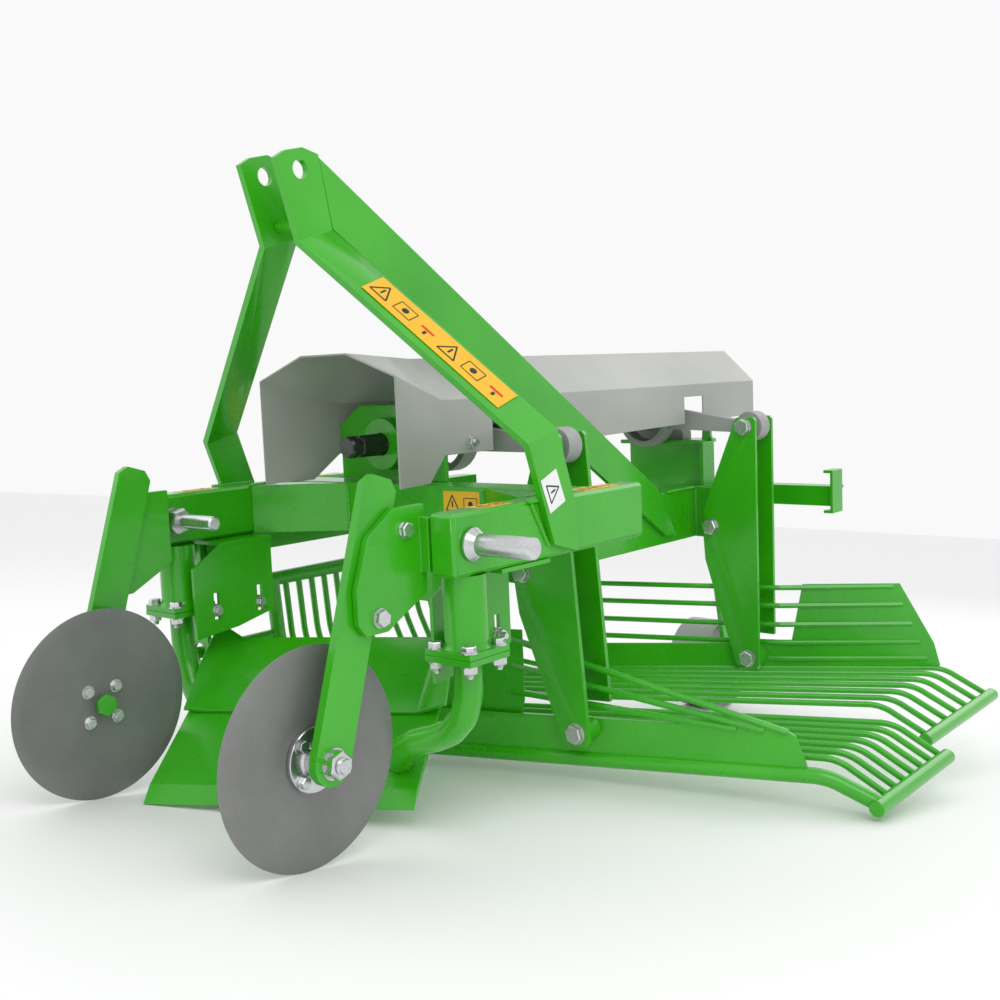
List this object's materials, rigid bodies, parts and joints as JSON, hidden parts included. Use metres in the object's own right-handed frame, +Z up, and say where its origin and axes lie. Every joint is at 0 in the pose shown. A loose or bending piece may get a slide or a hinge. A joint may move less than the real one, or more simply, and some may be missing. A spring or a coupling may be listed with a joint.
{
  "type": "mounted potato harvester",
  "caption": "Tractor-mounted potato harvester: A-frame hitch, oblique share between coulter discs, and shaking rod sieves driven from a covered shaft.",
  "frame": {"origin": "on the floor under the middle of the bounding box", "axes": "+X to the machine left, +Y to its rear, +Z up; the machine frame stands 7.7 degrees nose down about X"},
  "size_m": [1.0398, 1.7056, 0.9096],
  "materials": {
    "green_paint": "glossy bright green paint on steel",
    "grey_paint": "satin grey paint on sheet steel and castings",
    "bare_steel": "dull grey coated disc steel",
    "zinc": "bright zinc plating",
    "shaft_steel": "dark oiled steel",
    "wheel_grey": "grey painted steel wheel"
  },
  "bodies": {
    "frame": {"left_hitch_beam": "green_paint", "right_hitch_beam": "green_paint", "cross_beam": "green_paint", "left_corner_brace": "green_paint", "right_corner_brace": "green_paint", "central_beam": "green_paint", "front_lug": "green_paint", "rear_lug": "green_paint", "mast_left": "green_paint", "mast_right": "green_paint", "mast_brace": "green_paint", "mast_spacer": "green_paint", "left_lower_pin": "zinc", "right_lower_pin": "zinc", "pto_hood": "grey_paint", "drive_cover": "grey_paint", "front_bearing": "green_paint", "rear_pedestal": "green_paint", "rear_bearing": "grey_paint", "left_upper_leg": "green_paint", "right_upper_leg": "green_paint", "left_lower_leg": "green_paint", "right_lower_leg": "green_paint", "share": "green_paint", "share_deck": "green_paint", "left_side_plate": "green_paint", "right_side_plate": "green_paint", "left_disc_holder": "green_paint", "right_disc_holder": "green_paint", "left_disc_arm": "green_paint", "right_disc_arm": "green_paint", "right_side_bar": "green_paint", "rear_bar": "green_paint", "wheel_arm": "green_paint"},
    "drive_shaft": {"drive_shaft": "shaft_steel"},
    "front_lever": {"front_lever": "green_paint"},
    "rear_lever": {"rear_lever": "green_paint"},
    "front_pitman": {"front_pitman": "grey_paint"},
    "rear_pitman": {"rear_pitman": "grey_paint"},
    "front_sieve": {"front_sieve_grate": "green_paint", "front_sieve_guard": "green_paint"},
    "rear_sieve": {"rear_sieve_grate": "green_paint", "rear_sieve_guard": "green_paint"},
    "front_hanger": {"front_hanger": "green_paint"},
    "rear_hanger": {"rear_hanger": "green_paint"},
    "left_disc": {"left_disc": "bare_steel"},
    "right_disc": {"right_disc": "bare_steel"},
    "rear_wheel": {"rear_wheel": "wheel_grey"}
  },
  "joints": [
    {"name": "front_lever_swing", "type": "hinge", "parent": "frame", "child": "front_lever", "pos_m": [-0.0086, -0.16115, 0.33527], "axis": [0, -0.9909, -0.1348], "range_deg": [-4.5, 0]},
    {"name": "rear_lever_swing", "type": "hinge", "parent": "frame", "child": "rear_lever", "pos_m": [-0.0086, 0.43338, 0.41613], "axis": [0, -0.9909, -0.1348], "range_deg": [0, 4.5]},
    {"name": "front_sieve_level", "type": "hinge", "parent": "front_lever", "child": "front_sieve", "pos_m": [0.08841, -0.1273, 0.0864], "axis": [0, -0.9909, -0.1348], "range_deg": [0, 3.8]},
    {"name": "rear_sieve_level", "type": "hinge", "parent": "rear_lever", "child": "rear_sieve", "pos_m": [0.0684, 0.46815, 0.16048], "axis": [0, -0.9909, -0.1348], "range_deg": [-3.8, 0]},
    {"name": "front_pitman_turn", "type": "hinge", "parent": "front_lever", "child": "front_pitman", "pos_m": [0.05171, -0.15176, 0.54077], "axis": [0, -0.9909, -0.1348], "range_deg": [0, 3.3]},
    {"name": "rear_pitman_turn", "type": "hinge", "parent": "rear_lever", "child": "rear_pitman", "pos_m": [0.0674, 0.44349, 0.61632], "axis": [0, -0.9909, -0.1348], "range_deg": [-3.3, 0]},
    {"name": "front_hanger_swing", "type": "hinge", "parent": "frame", "child": "front_hanger", "pos_m": [-0.4526, -0.47231, 0.3525], "axis": [0, -0.9909, -0.1348], "range_deg": [-5.9, 0]},
    {"name": "rear_hanger_swing", "type": "hinge", "parent": "frame", "child": "rear_hanger", "pos_m": [-0.4526, 0.22131, 0.44683], "axis": [0, -0.9909, -0.1348], "range_deg": [0, 5.9]},
    {"name": "drive_shaft_turn", "type": "hinge", "parent": "frame", "child": "drive_shaft", "pos_m": [-0.1836, -0.28511, 0.53438], "axis": [0, 0.9909, 0.1348], "continuous": true},
    {"name": "left_disc_turn", "type": "hinge", "parent": "frame", "child": "left_disc", "pos_m": [0.1294, -0.7173, 0.1355], "axis": [1, 0, 0], "continuous": true},
    {"name": "right_disc_turn", "type": "hinge", "parent": "frame", "child": "right_disc", "pos_m": [-0.3146, -0.7173, 0.1355], "axis": [1, 0, 0], "continuous": true},
    {"name": "rear_wheel_turn", "type": "hinge", "parent": "frame", "child": "rear_wheel", "pos_m": [-0.1826, 0.7529, 0.1], "axis": [1, 0, 0], "continuous": true}
  ],
  "couplings": [
    {"joint": "rear_lever_swing", "follows": "front_lever_swing", "ratio": -1},
    {"joint": "front_sieve_level", "follows": "front_lever_swing", "ratio": -0.834},
    {"joint": "rear_sieve_level", "follows": "front_lever_swing", "ratio": 0.834},
    {"joint": "front_pitman_turn", "follows": "front_lever_swing", "ratio": -0.72},
    {"joint": "rear_pitman_turn", "follows": "front_lever_swing", "ratio": 0.72},
    {"joint": "front_hanger_swing", "follows": "front_lever_swing", "ratio": 1.295},
    {"joint": "rear_hanger_swing", "follows": "front_lever_swing", "ratio": -1.295}
  ]
}
